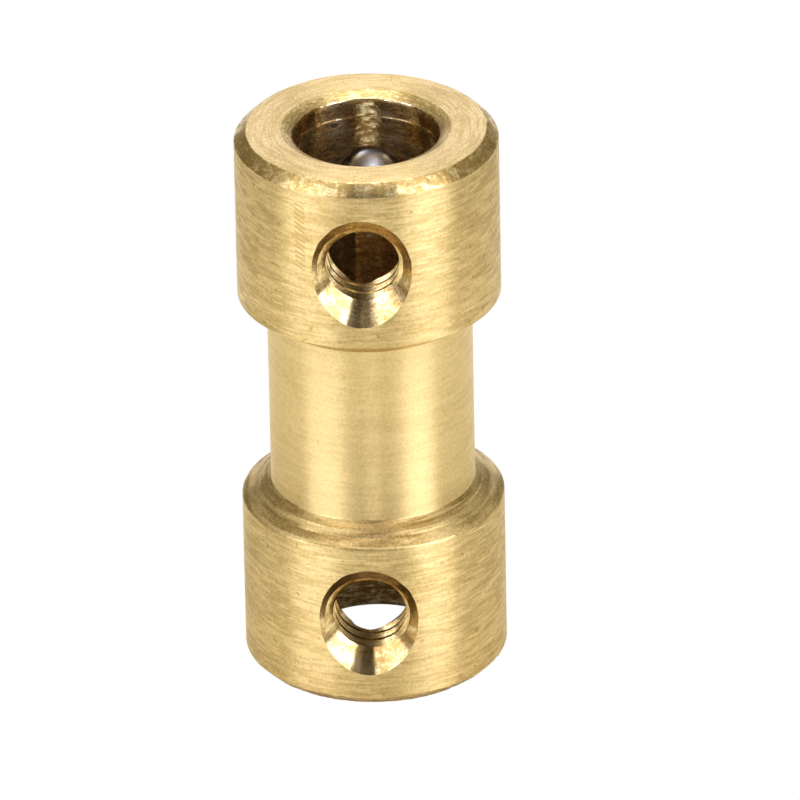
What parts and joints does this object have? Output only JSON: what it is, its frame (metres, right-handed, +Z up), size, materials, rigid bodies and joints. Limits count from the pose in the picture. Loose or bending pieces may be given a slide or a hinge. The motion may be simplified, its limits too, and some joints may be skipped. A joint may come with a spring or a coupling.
{
  "type": "rigid sleeve coupling",
  "caption": "Turned brass sleeve with two collars and a slimmer waist that joins two shafts end to end, clamped by oval-point set screws in cross-tapped holes.",
  "frame": {"origin": "on the axis of the shaft bore, at mid-length", "axes": "+Z up the shaft bore, +Y out of the tapped holes that hold the two set screws, -Y out of the open ones"},
  "size_m": [0.009, 0.01, 0.02],
  "materials": {
    "brass": "satin, as turned",
    "screw_steel": "bright stainless"
  },
  "bodies": {
    "sleeve": {"sleeve": "brass"},
    "upper_set_screw": {"upper_set_screw": "screw_steel"},
    "lower_set_screw": {"lower_set_screw": "screw_steel"}
  },
  "joints": [
    {"name": "upper_screw_travel", "type": "slide", "parent": "sleeve", "child": "upper_set_screw", "axis": [0, 1, 0], "range_m": [-0.0005, 0.0015]},
    {"name": "lower_screw_travel", "type": "slide", "parent": "sleeve", "child": "lower_set_screw", "axis": [0, 1, 0], "range_m": [-0.0005, 0.0015]}
  ]
}
